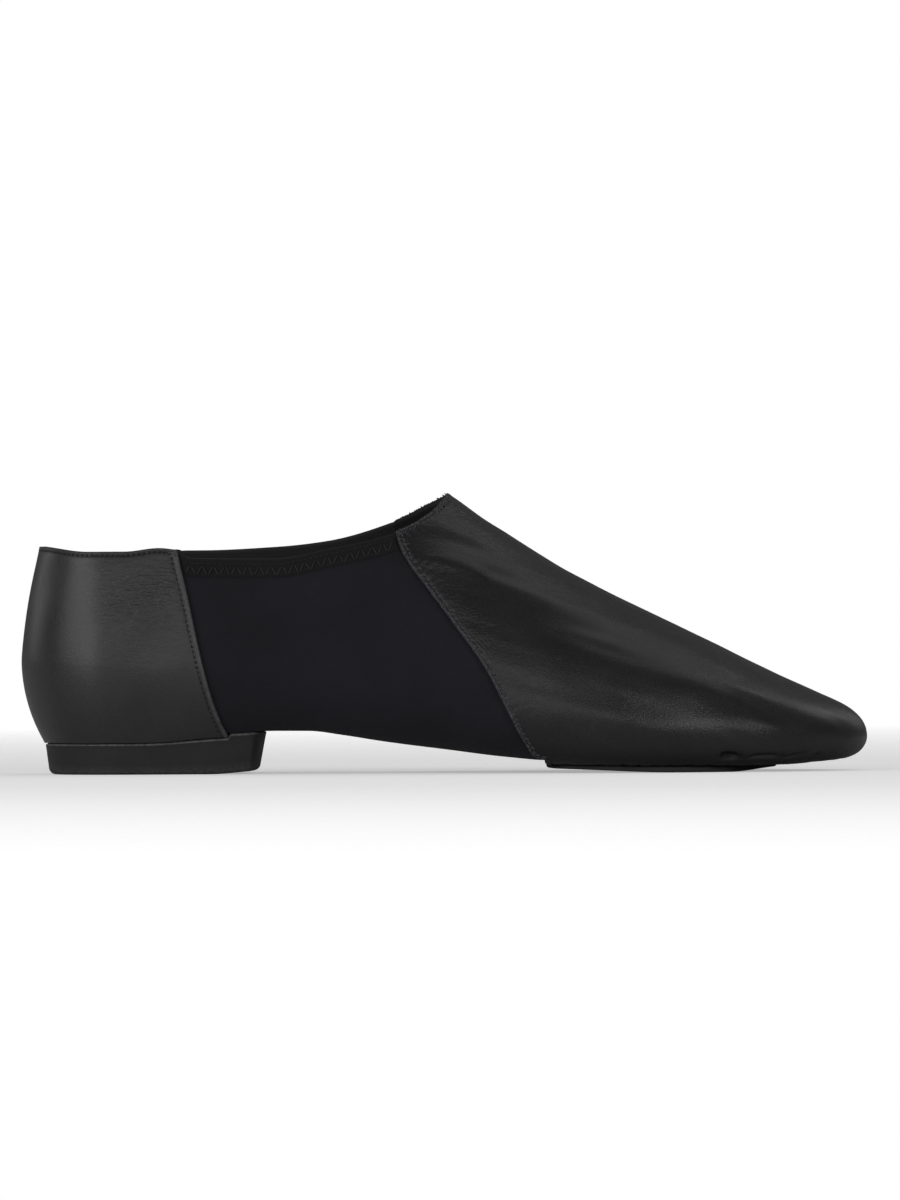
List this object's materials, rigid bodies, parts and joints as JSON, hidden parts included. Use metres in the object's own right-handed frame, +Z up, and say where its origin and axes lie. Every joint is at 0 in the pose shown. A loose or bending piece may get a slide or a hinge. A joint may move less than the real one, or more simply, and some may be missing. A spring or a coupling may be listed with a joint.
{
  "type": "jazz shoe",
  "caption": "Slip-on jazz shoe for the right foot, with leather vamp and counter, stretch sides, and a split sole of thin forefoot patch and low rubber heel.",
  "frame": {"origin": "middle of the bounding box in plan, on the floor", "axes": "+X from heel to toe, +Y to the inner side of the right foot, +Z up"},
  "size_m": [0.25, 0.0846, 0.0824],
  "materials": {
    "stretch_fabric": "matt blue-black stretch fabric with a fine knit face and a zigzag-stitched collar hem",
    "vamp_leather": "soft black leather, low sheen, lightly creased",
    "counter_leather": "black leather, slightly brighter, fine wrinkles and a soft sheen",
    "sole_patch": "matt black split leather",
    "heel_rubber": "matt moulded black rubber",
    "sock_lining": "dark grey brushed sock lining"
  },
  "bodies": {
    "root": {"upper": "stretch_fabric", "vamp": "vamp_leather", "heel_counter": "counter_leather", "forefoot_sole": "sole_patch", "heel_block": "heel_rubber", "insole": "sock_lining"}
  },
  "joints": []
}
